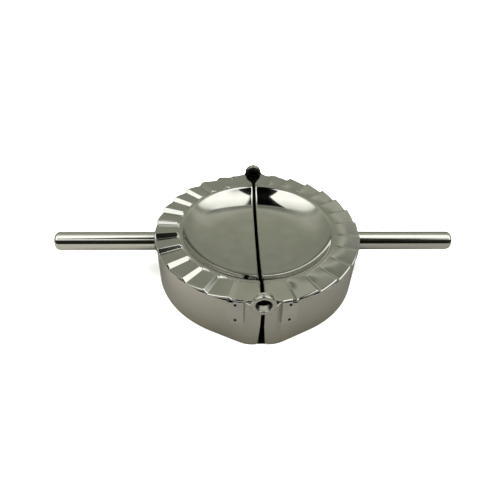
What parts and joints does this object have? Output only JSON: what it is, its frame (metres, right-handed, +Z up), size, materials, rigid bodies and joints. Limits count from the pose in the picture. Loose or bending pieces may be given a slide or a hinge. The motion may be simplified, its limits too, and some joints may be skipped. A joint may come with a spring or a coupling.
{
  "type": "dough press",
  "caption": "Round hinged dough press for filled pastries: two half bowls with a pleated rim on upright skirts, joined by rivets and opened by straight tube handles.",
  "frame": {"origin": "centre of the ring on the table", "axes": "+X along the handles to the right half, +Y along the hinge axis to the rear, +Z up"},
  "size_m": [0.2138, 0.1134, 0.0331],
  "materials": {
    "polished_steel": "mirror polished",
    "satin_steel": "lightly polished, soft reflections",
    "handle_steel": "polished tube",
    "weld_steel": "dark weld metal",
    "rivet_steel": "pressed, satin"
  },
  "bodies": {
    "right_half": {"right_bowl": "polished_steel", "right_skirt": "satin_steel", "right_handle_tube": "handle_steel", "right_handle_cap": "handle_steel", "right_handle_weld": "weld_steel", "right_front_tab_welds": "weld_steel", "right_rear_tab_welds": "weld_steel", "front_hinge_eyelet": "rivet_steel", "rear_hinge_eyelet": "rivet_steel", "front_hinge_washer": "rivet_steel", "rear_hinge_washer": "rivet_steel"},
    "left_half": {"left_bowl": "polished_steel", "left_skirt": "satin_steel", "left_handle_tube": "handle_steel", "left_handle_cap": "handle_steel", "left_handle_weld": "weld_steel", "left_front_tab_welds": "weld_steel", "left_rear_tab_welds": "weld_steel"}
  },
  "joints": [
    {"name": "fold", "type": "hinge", "parent": "right_half", "child": "left_half", "pos_m": [0, 0, 0.0274], "axis": [0, 1, 0], "range_deg": [-6, 180]}
  ]
}
